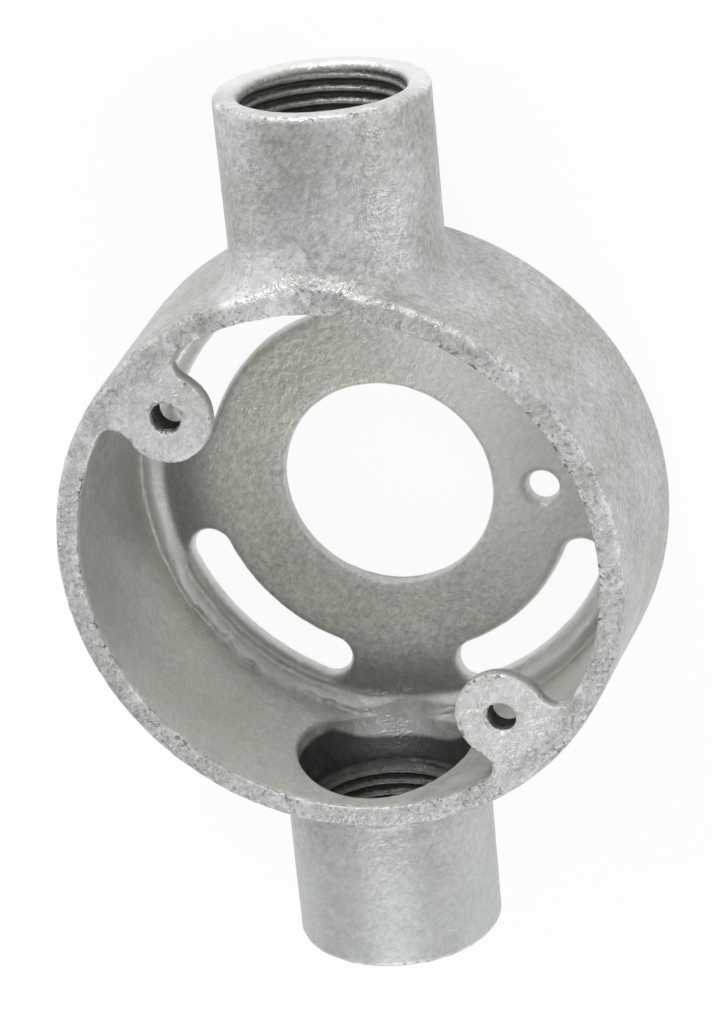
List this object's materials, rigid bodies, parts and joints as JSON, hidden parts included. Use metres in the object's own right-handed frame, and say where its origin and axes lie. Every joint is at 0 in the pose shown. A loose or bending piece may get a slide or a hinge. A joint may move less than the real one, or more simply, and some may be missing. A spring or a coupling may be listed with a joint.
{
  "type": "conduit body",
  "caption": "Round cast conduit box with two opposed internally threaded spouts, an open front with lid screw lugs, and a pierced back with curved slots.",
  "frame": {"origin": "centre of the back's outer face, on the axis of the round box", "axes": "+Z out of the open front, square to the rim; the spouts run along Y; the earth screw hole is on the +X side"},
  "size_m": [0.0682, 0.1052, 0.026],
  "materials": {
    "casting": "hot-dip galvanised, dull grey and mottled, with small pits and worn bright edges"
  },
  "bodies": {
    "root": {"conduit_box": "casting"}
  },
  "joints": []
}
